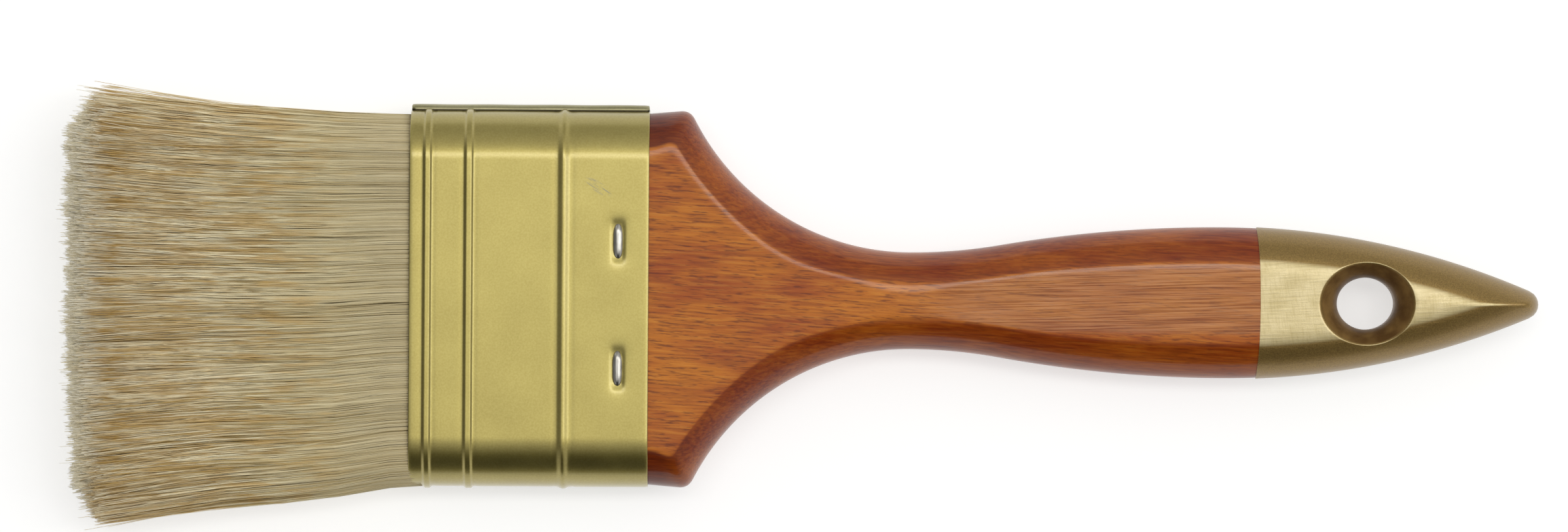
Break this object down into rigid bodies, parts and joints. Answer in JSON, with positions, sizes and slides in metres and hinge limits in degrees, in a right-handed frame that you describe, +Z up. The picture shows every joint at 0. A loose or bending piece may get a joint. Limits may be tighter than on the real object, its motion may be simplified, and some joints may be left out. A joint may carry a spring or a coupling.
{
  "type": "paint brush",
  "caption": "Flat paint brush with a shaped hardwood handle, a lacquered end with a hanging hole, a stapled sheet metal ferrule and natural bristles.",
  "frame": {"origin": "middle of the bottom of the bounding box, with the brush lying flat on the crests of the ferrule's beads", "axes": "+X along the brush towards the handle's end, bristle tips at -X; +Y across the width, towards the ferrule's seam; +Z up, through the thickness"},
  "size_m": [0.232, 0.0672, 0.0163],
  "materials": {
    "varnished_wood": "reddish-brown hardwood under clear gloss varnish",
    "gold_lacquer": "satin bronze-gold lacquer dipped over wood",
    "plated_sheet": "thin rolled sheet with a satin brassy plating",
    "resin": "dark cured resin full of bristle butts",
    "raw_wood": "bare sawn softwood",
    "bristle": "natural bristle, pale grey-tan with tan and brown streaks",
    "wire": "flattened bright wire"
  },
  "bodies": {
    "brush": {"handle": "varnished_wood", "dip_coat": "gold_lacquer", "ferrule": "plated_sheet", "resin_set": "resin", "filler_strip_left": "raw_wood", "filler_strip_right": "raw_wood", "staple_top_left": "wire", "staple_top_right": "wire", "staple_bottom_left": "wire", "staple_bottom_right": "wire"},
    "tuft": {"bristles_top": "bristle", "bristles_bottom": "bristle"}
  },
  "joints": [
    {"name": "tuft_flex", "type": "hinge", "parent": "brush", "child": "tuft", "pos_m": [-0.06398, 0, 0.00815], "axis": [0, 1, 0], "range_deg": [-25, 25], "stiffness_Nm_per_rad": 0.4}
  ]
}
